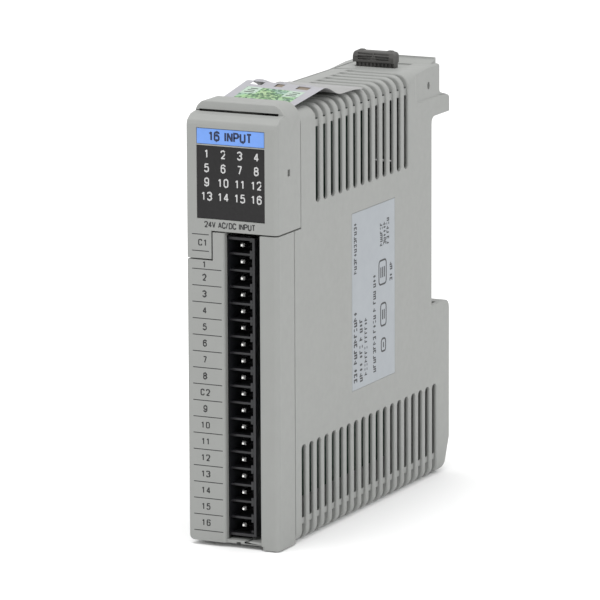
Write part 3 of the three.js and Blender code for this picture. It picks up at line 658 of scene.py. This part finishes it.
def stroke_rows(form, path, closed, weight, depth, to_point):
    """The four corners of a stroke at each place of its path."""
    count = len(path)
    rows = []
    for index, here in enumerate(path):
        before = path[index - 1] if closed or index else here * 2 - path[1]
        after = path[(index + 1) % count] if closed or index + 1 < count else here * 2 - path[-2]
        arriving = (here - before).normalized()
        along = (arriving + (after - here).normalized()).normalized()
        turn = max(along.dot(arriving), TIGHTEST_TURN)
        across = Vector((-along.y, along.x)) * weight / 2 / turn
        corners = [(across, depth), (-across, depth), (-across, -depth), (across, -depth)]
        rows.append([form.verts.new(to_point(here.x + c.x, here.y + c.y, w)) for c, w in corners])
    return rows


def add_stroke(form, path, weight, depth, to_point):
    """A solid strip of even width along a path, from depth below its surface to depth above."""
    closed = (path[0] - path[-1]).length < CLOSED_WITHIN
    if closed:
        path = path[:-1]
    rows = stroke_rows(form, path, closed, weight, depth, to_point)
    count = len(rows)
    for index in range(count if closed else count - 1):
        row = rows[index]
        after = rows[(index + 1) % count]
        for side in range(4):
            other = (side + 1) % 4
            form.faces.new((row[side], row[other], after[other], after[side]))
    if not closed:
        form.faces.new(rows[0][::-1])
        form.faces.new(rows[-1])


def write(name, text, height, weight, to_point, material, width=None):
    """Raised print of a short text, centred on the origin of to_point(along, up, out), in millimetres."""
    tall = height - weight
    wide = height * LETTER_WIDTH
    reach = wide * CORNER_REACH
    widths = [wide * NARROW.get(sign, 1.0) for sign in text]
    space = height * LETTER_GAP + weight
    length = sum(widths) + space * (len(text) - 1)
    if width:
        space += (width - length - weight) / (len(text) - 1)
        length = width - weight
    form = bmesh.new()
    start = -length / 2
    count = 0
    for sign, own in zip(text, widths):
        for stroke in GLYPHS.get(sign, []):
            corners = [(start + u * own, (v - 0.5) * tall, *mark) for u, v, *mark in stroke]
            add_stroke(form, rounded_path(corners, reach), weight, ink_depth(count), to_point)
            count += 1
        start += own + space
    add_piece(name, finished_mesh(form), [material])


def on_front(x, y, z):
    """A place on a front face: print runs to the right and stands upright."""
    return lambda along, up, out: mm_point(x + along, y - out, z + up)


def on_right_side(x, y, z):
    """A place on the right face: print runs upwards, its heads to the front."""
    return lambda along, up, out: mm_point(x + out, y - up, z + along)


# ------------------------------------------------------------------ CAD nodes shown as they are

def paint_nodes():
    looks = {
        "legend_window": WINDOW_FILM,
        "name_strip": NAME_FILM,
        "terminal_header": HEADER_PLASTIC,
        "light_baffle": BAFFLE,
        "display_board": BOARD,
        "display_connector": CHIP,
        "main_board": BOARD,
        "controller_chip": CHIP,
        "filter_capacitor": CAN,
        "backplane_connector": HEADER_PLASTIC,
        "rating_label": RATING_FILM,
    }
    families = {"optocoupler": CHIP, "terminal_pin": PIN_METAL, "status_led": LED_LENS}
    for node in NODES:
        family = node.rsplit("_", 1)[0]
        if node in looks:
            paint(node, looks[node])
        elif family in families:
            paint(node, families[family])


SPRING_SMOOTH_DEGREES = 60


def make_spring():
    """The latch's return spring, shown as the CAD node's own shape."""
    mesh = NODES["latch_spring"].data.copy()
    piece = add_piece("return_spring", mesh, [SPRING_STEEL])
    smooth_by_angle(mesh, SPRING_SMOOTH_DEGREES)
    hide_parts("latch_spring")
    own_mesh(piece)


# ------------------------------------------------------------------ front print

LINE_TOP = 63.8
LINE_STEP = 3.787
LINE_LEFT = 1.25
LINE_RIGHT = 8.6
LINE_WEIGHT = 0.19
TAB_LINES = [71.75, 67.95]
TAB_RIGHT = 5.5
TAB_NUMBER_X = 3.9
TAB_NUMBER_Z = 69.9
STRIP_NUMBERS = [str(n) for n in range(1, 9)] + ["C2"] + [str(n) for n in range(9, 17)]
NUMBER_X = 4.3
NUMBER_HEIGHT = 1.6
NUMBER_WEIGHT = 0.27

# How high a number's middle stands over the line below it. The first one stands lower.
NUMBER_RISE = 1.9
FIRST_NUMBER_RISE = 1.1

LEGEND_COUNT = 16
LEGEND_HEIGHT = 1.98
LEGEND_WEIGHT = 0.28
NAME_RISE = 0.1
NAME_HEIGHT = 2.3
NAME_WEIGHT = 0.44
NAME_WIDTH = 10.9
INPUT_X = 10.8
INPUT_Z = 74.15
INPUT_HEIGHT = 1.45
INPUT_WEIGHT = 0.25
INPUT_WIDTH = 12.8


def rule(name, x0, x1, z):
    """A thin printed line on the front plane."""
    form = bmesh.new()
    add_stroke(form, [Vector((x0, 0)), Vector((x1, 0))], LINE_WEIGHT, INK, on_front(0, FRAME.front, z))
    add_piece(name, finished_mesh(form), [DARK_INK])


def print_strip():
    for index, text in enumerate(STRIP_NUMBERS):
        z = LINE_TOP - index * LINE_STEP
        rise = NUMBER_RISE if index else FIRST_NUMBER_RISE
        rule(f"strip_line_{index + 1:02d}", LINE_LEFT, LINE_RIGHT, z)
        place = on_front(NUMBER_X, FRAME.front, z + rise)
        write(f"strip_number_{text}", text, NUMBER_HEIGHT, NUMBER_WEIGHT, place, DARK_INK)
    for index, z in enumerate(TAB_LINES):
        rule(f"tab_line_{index + 1}", LINE_LEFT, TAB_RIGHT, z)
    place = on_front(TAB_NUMBER_X, FRAME.front, TAB_NUMBER_Z)
    write("tab_number_C1", "C1", NUMBER_HEIGHT, NUMBER_WEIGHT, place, DARK_INK)


def print_window():
    window = Sides("legend_window")
    for number in range(1, LEGEND_COUNT + 1):
        led = Sides(f"status_led_{number:02d}")
        place = on_front(led.middle_x, window.front, led.middle_z)
        write(f"legend_{number:02d}", str(number), LEGEND_HEIGHT, LEGEND_WEIGHT, place, WHITE_INK)
    strip = Sides("name_strip")
    place = on_front(strip.middle_x, strip.front, strip.middle_z + NAME_RISE)
    write("name_text", "16 INPUT", NAME_HEIGHT, NAME_WEIGHT, place, BLUE_INK, NAME_WIDTH)
    place = on_front(INPUT_X, FRAME.front, INPUT_Z)
    write("input_text", "24V AC/DC INPUT", INPUT_HEIGHT, INPUT_WEIGHT, place, DARK_INK, INPUT_WIDTH)


# ------------------------------------------------------------------ rating label

RATING = Sides("rating_label")

# Lines of small print: distance from the label's front edge, low end, high end, letter height, weight.
SMALL_PRINT = [
    (1.75, 31.2, 48.3, 1.75, 0.42),
    (1.75, 57.0, 69.3, 1.45, 0.32),
    (4.75, 31.1, 46.0, 1.65, 0.38),
    (7.4, 32.1, 46.4, 1.45, 0.32),
    (12.1, 31.9, 55.7, 1.55, 0.34),
    (15.9, 61.2, 67.4, 1.35, 0.30),
    (17.7, 61.2, 66.9, 1.35, 0.30),
    (19.5, 61.2, 67.1, 1.35, 0.30),
    (21.2, 52.0, 57.6, 1.45, 0.34),
]
MARK_WIDTH = 0.38
MARK_GAP = 0.1
WORD_GAP = 0.45
WORD_CHANCE = 0.14

# Framed patches: distance from the label's front edge, low end, high end, half height, bars.
BADGES = {
    "badge_large": (16.6, 51.9, 57.6, 2.0, 3),
    "badge_middle": (17.0, 42.0, 47.3, 1.5, 2),
    "badge_small": (17.0, 35.9, 38.9, 1.2, 1),
}
BADGE_CORNER = 1.0
BADGE_WEIGHT = 0.42
BAR_STEP = 0.95
BAR_REACH = 0.22
BAR_WEIGHT = 0.48


def print_line(name, distance, low, high, height, weight, dice):
    """A line of marks in word-like groups."""
    form = bmesh.new()
    place = on_right_side(RATING.right, RATING.front + distance, 0)
    wide = height * MARK_WIDTH
    z = low
    count = 0
    while z + wide < high:
        strokes = dice.choice(MARKS)
        for stroke in strokes:
            path = [Vector((z + u * wide, (v - 0.5) * (height - weight))) for u, v in stroke]
            add_stroke(form, path, weight, ink_depth(count), place)
            count += 1
        z += wide + weight + height * MARK_GAP
        if dice.random() < WORD_CHANCE:
            z += height * WORD_GAP
    add_piece(name, finished_mesh(form), [RATING_INK])


def print_badge(name, distance, low, high, half, bars):
    """A plain framed patch with a few bars in it. It stands in for the marks of the real label."""
    form = bmesh.new()
    place = on_right_side(RATING.right, RATING.front + distance, 0)
    outline = [(low, half, ROUND), (high, half, ROUND), (high, -half, ROUND), (low, -half, ROUND)]
    path = rounded_path([(low, 0), *outline, (low, 0)], BADGE_CORNER)
    add_stroke(form, path, BADGE_WEIGHT, INK, place)
    middle = (low + high) / 2
    reach = (high - low) * BAR_REACH
    for index in range(bars):
        up = (index - (bars - 1) / 2) * BAR_STEP
        bar = [Vector((middle - reach, up)), Vector((middle + reach, up))]
        add_stroke(form, bar, BAR_WEIGHT, INK, place)
    add_piece(name, finished_mesh(form), [RATING_INK])


def print_rating():
    dice = random.Random(SEED)
    for number, line in enumerate(SMALL_PRINT, 1):
        print_line(f"small_print_{number}", *line, dice)
    for name, badge in BADGES.items():
        print_badge(name, *badge)


# ------------------------------------------------------------------ top label

TAG = Sides("top_label")
TAG_THICK = 0.1
TAG_SKEW = 0.035
TAG_COLUMNS = 56
TAG_ROWS = 84
TAG_INSET = 0.05
TAG_CEILING = 103.25
TAG_SMOOTH_DEGREES = 50
FACING_UP = 0.3

# The label's three openings, all between the same front and rear, with their left and right sides.
HOLE_FRONT = 24.5
HOLE_REAR = 26.6
HOLE_SLACK = 0.01
HOLES = [(3.3, 6.6), (9.6, 11.6), (14.8, 18.0)]

# Height of the label's left and right edges, as (y, z).
LEFT_EDGE = [(12.5, 100.2), (26.2, 102.9), (36.5, 99.9), (41.0, 100.4), (46.9, 99.7)]
RIGHT_EDGE = [(12.5, 100.2), (27.4, 102.2), (36.0, 99.9), (41.0, 99.95), (46.9, 99.6)]

# The paper bulges behind each opening, less so towards the right.
BULGE = 0.75
BULGE_LENGTH = 3.2
BULGE_LOSS = 0.5
BULGE_SHAPE = 0.5

# A share of the label's width at its right edge curls down, from CURL_FRONT to the rear.
EDGE_CURL = 0.2
CURL_SHARE = 0.07
CURL_FRONT = 30
CURL_RUN = 8

# Sheets on the label. Heights are over its surface, and bars are measured from the panel's sides.
PATCH_STEPS = 6
PANELS = {"left": (4.0, 7.7), "right": (14.5, 18.3)}
PANEL_FRONT_LEFT = 18.4
PANEL_FRONT_RIGHT = 18.9
PANEL_LOW = -0.02
PANEL_HIGH = 0.015
PANEL_BARS = 3
PANEL_BAR_Y = 19.6
PANEL_BAR_STEP = 1.1
PANEL_BAR_LEFT = 0.6
PANEL_BAR_RIGHT = 0.7
PANEL_BAR_TAPER = 0.3
PANEL_BAR_WEIGHT = 0.42
PANEL_BAR_DEPTH = 0.03
FLAP_SIDE = 0.1
FLAP_REAR = 0.2
FLAP_LOW = -0.4
FLAP_HIGH = -0.25


def height_along(stations, y):
    """A straight rise to the first crest, then smooth waves."""
    for index, ((y0, z0), (y1, z1)) in enumerate(zip(stations, stations[1:])):
        if y <= y1:
            share = (y - y0) / (y1 - y0)
            eased = share if index == 0 else (1 - math.cos(math.pi * share)) / 2
            return z0 + (z1 - z0) * eased
    return stations[-1][1]


def tag_surface(x, y):
    """The point of the lifted and skewed label that would lie at plan position x, y without the skew."""
    share = (x - TAG.left) / (TAG.right - TAG.left)
    z = (1 - share) * height_along(LEFT_EDGE, y) + share * height_along(RIGHT_EDGE, y)
    for left, right in HOLES:
        if left < x < right and y > HOLE_REAR - HOLE_SLACK:
            bulge = math.sin(math.pi * (x - left) / (right - left)) ** BULGE_SHAPE
            fading = math.exp(-(y - HOLE_REAR) / BULGE_LENGTH)
            z += BULGE * bulge * fading * (1 - share * BULGE_LOSS)
    if y > CURL_FRONT:
        past = max(0.0, (share - (1 - CURL_SHARE)) / CURL_SHARE)
        z -= EDGE_CURL * past * past * min(1.0, (y - CURL_FRONT) / CURL_RUN)
    return x + TAG_SKEW * (y - TAG.front), y, min(z, TAG_CEILING)


def stations_between(start, end, count):
    return [start + (end - start) * index / count for index in range(count + 1)]


def is_open(x, y):
    """True where the label has one of its openings."""
    return HOLE_FRONT < y < HOLE_REAR and any(left < x < right for left, right in HOLES)


def make_top_label():
    xs = stations_between(TAG.left, TAG.right, TAG_COLUMNS)
    ys = stations_between(TAG.front + TAG_INSET, TAG.rear - TAG_INSET, TAG_ROWS)
    form = bmesh.new()
    top = [[form.verts.new(mm_point(*tag_surface(x, y))) for x in xs] for y in ys]
    for j in range(TAG_ROWS):
        for i in range(TAG_COLUMNS):
            if not is_open((xs[i] + xs[i + 1]) / 2, (ys[j] + ys[j + 1]) / 2):
                form.faces.new((top[j][i], top[j][i + 1], top[j + 1][i + 1], top[j + 1][i]))
    loose = [vert for vert in form.verts if not vert.link_faces]
    bmesh.ops.delete(form, geom=loose, context="VERTS")
    bmesh.ops.recalc_face_normals(form, faces=form.faces)
    bmesh.ops.solidify(form, geom=list(form.faces), thickness=TAG_THICK * MM)
    # Faces that do not look up, the underside and the cut edges, take the underside tone with its painted
    # shade.
    for face in form.faces:
        face.material_index = 0 if face.normal.z > FACING_UP else 1
    mesh = mesh_of(form)
    piece = add_piece("paper_tag", mesh, [LABEL_PAPER, LABEL_BACK_AND_SHADE])
    smooth_by_angle(mesh, TAG_SMOOTH_DEGREES)
    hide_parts("top_label")


def on_tag(x, y, out):
    """A place over the label, out above its surface."""
    x, y, z = tag_surface(x, y)
    return mm_point(x, y, z + out)


def patch_layer(form, corners, height):
    """A grid of points at one height over the label, between four (x, y) corners."""
    first, second, third, fourth = [Vector(corner) for corner in corners]
    rows = []
    for j in range(PATCH_STEPS + 1):
        near = first.lerp(fourth, j / PATCH_STEPS)
        far = second.lerp(third, j / PATCH_STEPS)
        places = [near.lerp(far, i / PATCH_STEPS) for i in range(PATCH_STEPS + 1)]
        rows.append([form.verts.new(on_tag(p.x, p.y, height)) for p in places])
    return rows


def add_patch(name, corners, low, high, material):
    """A thin sheet that follows the label from low to high over it, between four (x, y) corners."""
    form = bmesh.new()
    upper = patch_layer(form, corners, high)
    under = patch_layer(form, corners, low)
    steps = PATCH_STEPS
    for j in range(steps):
        for i in range(steps):
            form.faces.new((upper[j][i], upper[j][i + 1], upper[j + 1][i + 1], upper[j + 1][i]))
            form.faces.new((under[j][i], under[j + 1][i], under[j + 1][i + 1], under[j][i + 1]))
    rim = [(0, k) for k in range(steps)] + [(k, steps) for k in range(steps)]
    rim += [(steps, k) for k in range(steps, 0, -1)] + [(k, 0) for k in range(steps, 0, -1)]
    for (j, i), (q, p) in zip(rim, rim[1:] + rim[:1]):
        form.faces.new((upper[j][i], under[j][i], under[q][p], upper[q][p]))
    add_piece(name, finished_mesh(form), [material])


def print_top_label():
    """Two pale panels with a few plain bars."""
    rear = PRINT_AREA["rear"]
    for name, (left, right) in PANELS.items():
        panel = [(left, PANEL_FRONT_LEFT), (right, PANEL_FRONT_RIGHT), (right, rear), (left, rear)]
        add_patch(f"tag_panel_{name}", panel, PANEL_LOW, PANEL_HIGH, LABEL_PANEL)
        form = bmesh.new()
        for index in range(PANEL_BARS):
            y = PANEL_BAR_Y + index * PANEL_BAR_STEP
            start = left + PANEL_BAR_LEFT + PANEL_BAR_TAPER * index
            end = right - PANEL_BAR_RIGHT - PANEL_BAR_TAPER * (index % 2)
            bar = [Vector((start, y)), Vector((end, y))]
            add_stroke(form, bar, PANEL_BAR_WEIGHT, PANEL_BAR_DEPTH, on_tag)
        add_piece(f"tag_bars_{name}", finished_mesh(form), [DARK_INK])


def add_tag_flaps():
    """The torn flaps seen in the label's openings: flat sheets just under the openings, in the underside
    tone with its painted shade. The left opening is clear.
    """
    front = HOLE_FRONT - FLAP_SIDE
    rear = HOLE_REAR + FLAP_REAR
    for name, (hole_left, hole_right) in zip(("middle", "right"), HOLES[1:]):
        left = hole_left - FLAP_SIDE
        right = hole_right + FLAP_SIDE
        flap = [(left, front), (right, front), (right, rear), (left, rear)]
        # Painted shade: each flap's brown tone stands for the shaded underside of a lifted flap.
        add_patch(f"tag_flap_{name}", flap, FLAP_LOW, FLAP_HIGH, LABEL_BACK_AND_SHADE)


# ------------------------------------------------------------------ light and floor

FLOOR_RADIUS = 6.0
FLOOR_SEGMENTS = 96
FLOOR_GAP = 0.0002
LIGHT_TARGET = (0.0, 0.0, 0.05)
LIGHT_SIZE = 0.9

# Where each light stands and how strong it is.
LIGHTS = {
    "key_light": ((-0.1, -0.25, 1.6), 12.2),
    "side_light": ((1.4, -0.75, 0.8), 5.5),
}


def add_area_light(name, place, power):
    data = bpy.data.lights.new(name, "AREA")
    data.shape = "SQUARE"
    data.size = LIGHT_SIZE
    data.energy = power
    light = bpy.data.objects.new(name, data)
    light.location = place
    light.rotation_mode = "QUATERNION"
    towards = Vector(LIGHT_TARGET) - Vector(place)
    light.rotation_quaternion = towards.to_track_quat("-Z", "Y")
    bpy.context.scene.collection.objects.link(light)


def make_floor():
    form = bmesh.new()
    bmesh.ops.create_circle(form, cap_ends=True, radius=FLOOR_RADIUS, segments=FLOOR_SEGMENTS)
    mesh = finished_mesh(form)
    mesh.transform(Matrix.Translation((0, 0, cad_low.z - FLOOR_GAP)))
    floor = bpy.data.objects.new("studio_floor", mesh)
    bpy.context.scene.collection.objects.link(floor)
    mesh.materials.append(surface("studio_paper", (0.92, 0.92, 0.92), 0.8, 0.005, 4.0, 40.0, 0.0))


def make_light():
    world = bpy.data.worlds.new("studio")
    world.use_nodes = True
    background = world.node_tree.nodes["Background"]
    background.inputs["Color"].default_value = (1.0, 1.0, 1.0, 1.0)
    background.inputs["Strength"].default_value = 1.0
    bpy.context.scene.world = world
    for name, (place, power) in LIGHTS.items():
        add_area_light(name, place, power)
    bpy.context.scene.view_settings.view_transform = "Standard"


make_camera()
make_shells()
paint_nodes()
make_spring()
print_strip()
print_window()
print_rating()
make_top_label()
print_top_label()
add_tag_flaps()
make_floor()
make_light()
